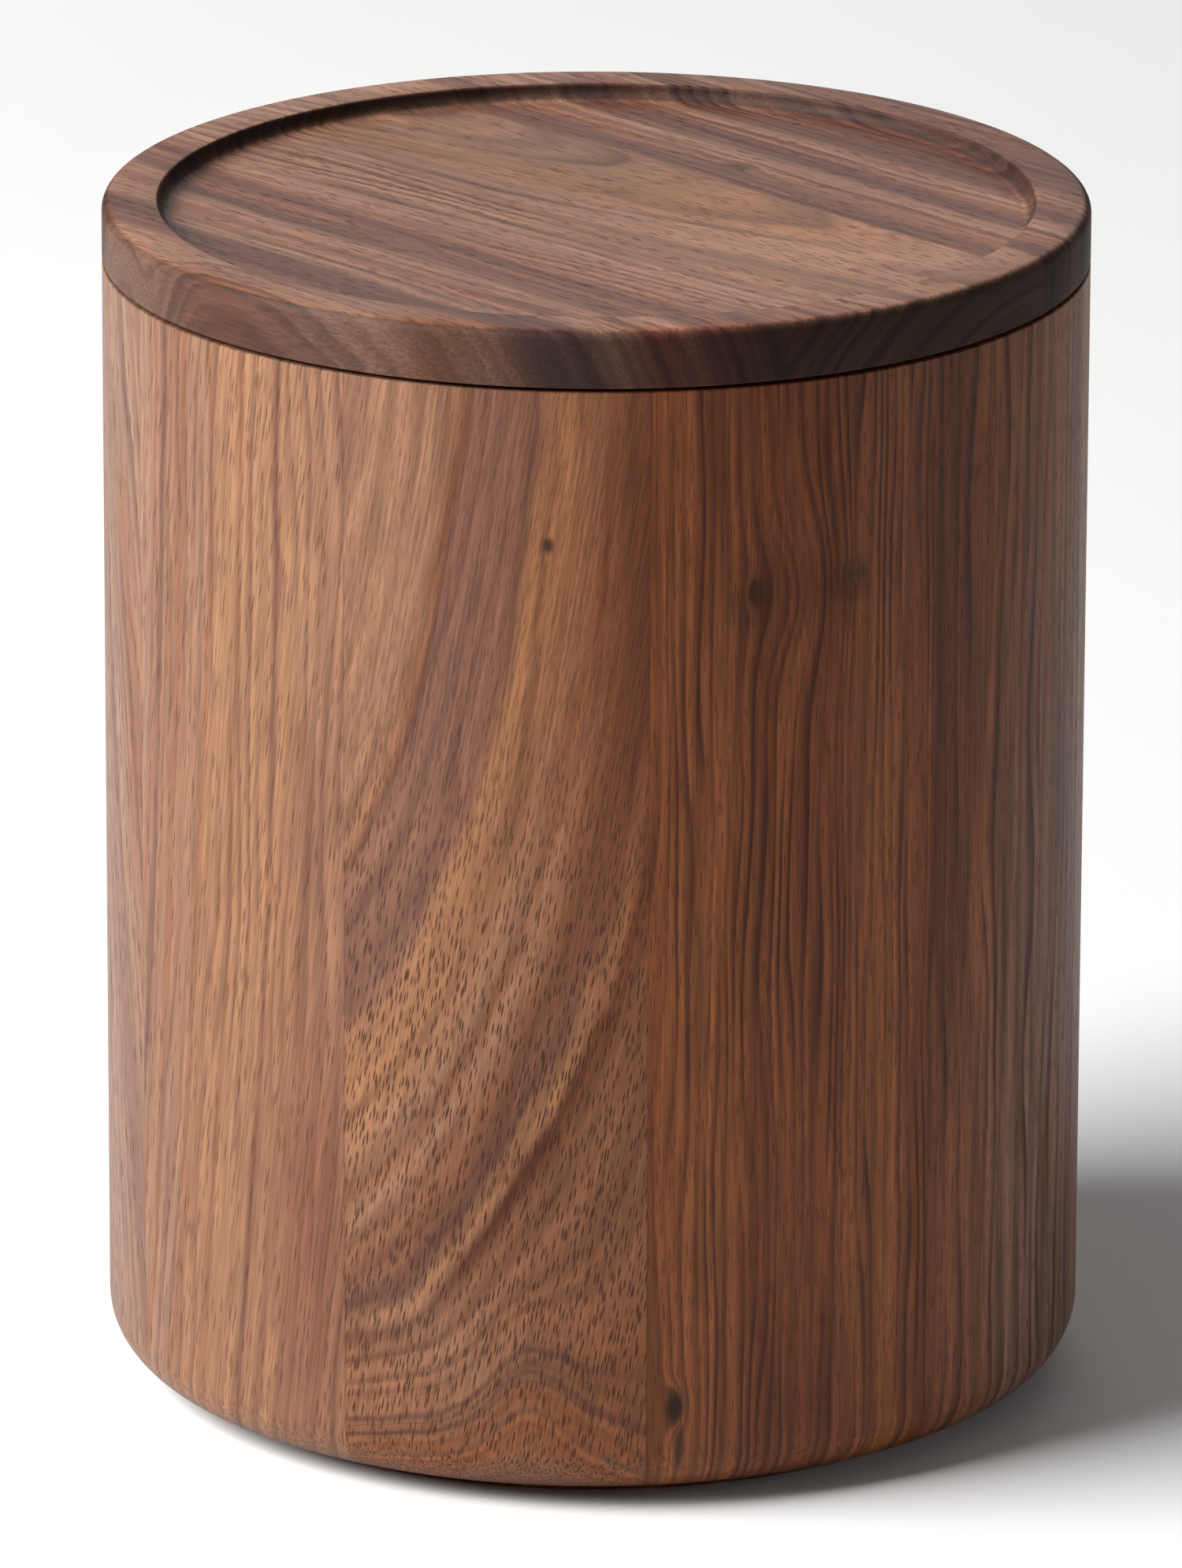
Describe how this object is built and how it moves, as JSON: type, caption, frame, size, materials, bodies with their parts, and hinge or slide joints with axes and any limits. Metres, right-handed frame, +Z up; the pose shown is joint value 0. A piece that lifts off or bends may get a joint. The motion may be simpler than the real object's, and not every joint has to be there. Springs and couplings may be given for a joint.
{
  "type": "tea caddy",
  "caption": "Round turned walnut tea caddy of mitred staves, with a low foot and a lift-off lid that has a dished top, a raised rim and a sealed plug.",
  "frame": {"origin": "centre of the foot's underside, on the surface that the caddy stands on", "axes": "+Z up along the caddy's turning axis; -Y is the side that the picture shows; +X to its right"},
  "size_m": [0.11, 0.11, 0.1358],
  "materials": {
    "body_walnut": "satin oil",
    "base_walnut": "satin oil",
    "lid_walnut": "satin oil",
    "plug_walnut": "bare, sanded",
    "silicone": "matt translucent"
  },
  "bodies": {
    "caddy": {"stave_01": "body_walnut", "stave_02": "body_walnut", "stave_03": "body_walnut", "stave_04": "body_walnut", "stave_05": "body_walnut", "stave_06": "body_walnut", "stave_07": "body_walnut", "stave_08": "body_walnut", "stave_09": "body_walnut", "stave_10": "body_walnut", "base_board_front": "base_walnut", "base_board_middle": "base_walnut", "base_board_back": "base_walnut"},
    "seal": {"seal_ring": "silicone"},
    "lid": {"lid_board_front": "lid_walnut", "lid_board_middle": "lid_walnut", "lid_board_back": "lid_walnut", "plug_board_left": "plug_walnut", "plug_board_middle": "plug_walnut", "plug_board_right": "plug_walnut"}
  },
  "joints": [
    {"name": "lid_lift", "type": "slide", "parent": "caddy", "child": "seal", "axis": [0, 0, 1], "range_m": [0, 0.06]},
    {"name": "lid_turn", "type": "hinge", "parent": "seal", "child": "lid", "pos_m": [0, 0, 0.129], "axis": [0, 0, 1], "continuous": true}
  ]
}
